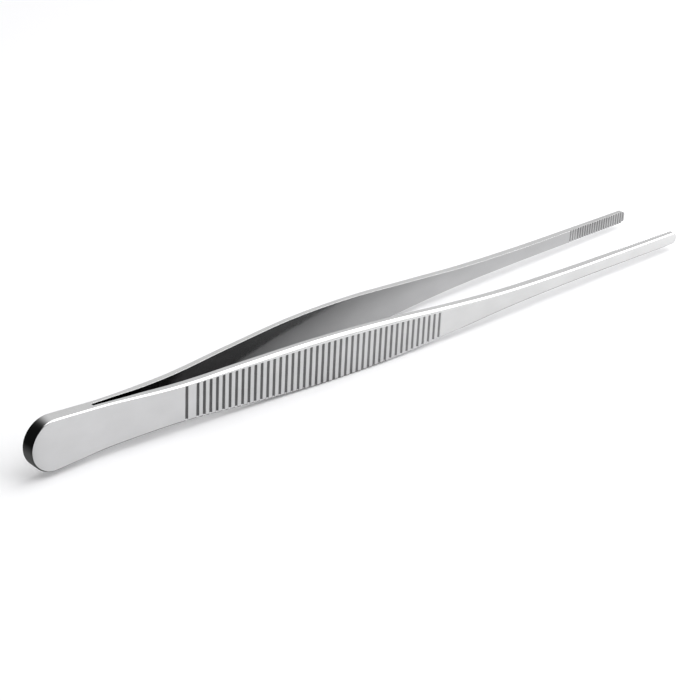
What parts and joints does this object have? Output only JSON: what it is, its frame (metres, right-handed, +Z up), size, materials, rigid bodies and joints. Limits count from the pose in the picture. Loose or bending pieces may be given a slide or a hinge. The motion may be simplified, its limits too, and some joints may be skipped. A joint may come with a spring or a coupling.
{
  "type": "print tongs",
  "caption": "Long sprung tongs of two stainless blades welded at a rounded butt, with a ribbed grip and fine-toothed slender jaws for lifting wet prints.",
  "frame": {"origin": "middle of the underside of the box round the tongs, which lie on their long edge and stand on the two bellies", "axes": "+X from the butt towards the jaw tips, +Y from the right blade to the left blade across the tongs, +Z up across the width of the blades; the tongs lean 1.2 degrees tips-down, as they balance on a table"},
  "size_m": [0.2, 0.0196, 0.0135],
  "materials": {
    "stainless_steel": "fine satin faces, polished edges and bevels",
    "weld_metal": "ground flush and polished with the blades' edges"
  },
  "bodies": {
    "butt": {"left_blade_butt": "stainless_steel", "right_blade_butt": "stainless_steel", "butt_edge_weld": "weld_metal", "spot_welds": "weld_metal"},
    "left_arm": {"left_blade_arm": "stainless_steel"},
    "right_arm": {"right_blade_arm": "stainless_steel"}
  },
  "joints": [
    {"name": "left_arm_squeeze", "type": "hinge", "parent": "butt", "child": "left_arm", "pos_m": [-0.06998, 0.00183, 0.00687], "axis": [-0.0209, 0, -0.9998], "range_deg": [0, 2.7], "stiffness_Nm_per_rad": 6},
    {"name": "right_arm_squeeze", "type": "hinge", "parent": "butt", "child": "right_arm", "pos_m": [-0.06998, -0.00183, 0.00687], "axis": [0.0209, 0, 0.9998], "range_deg": [0, 2.7], "stiffness_Nm_per_rad": 6}
  ]
}
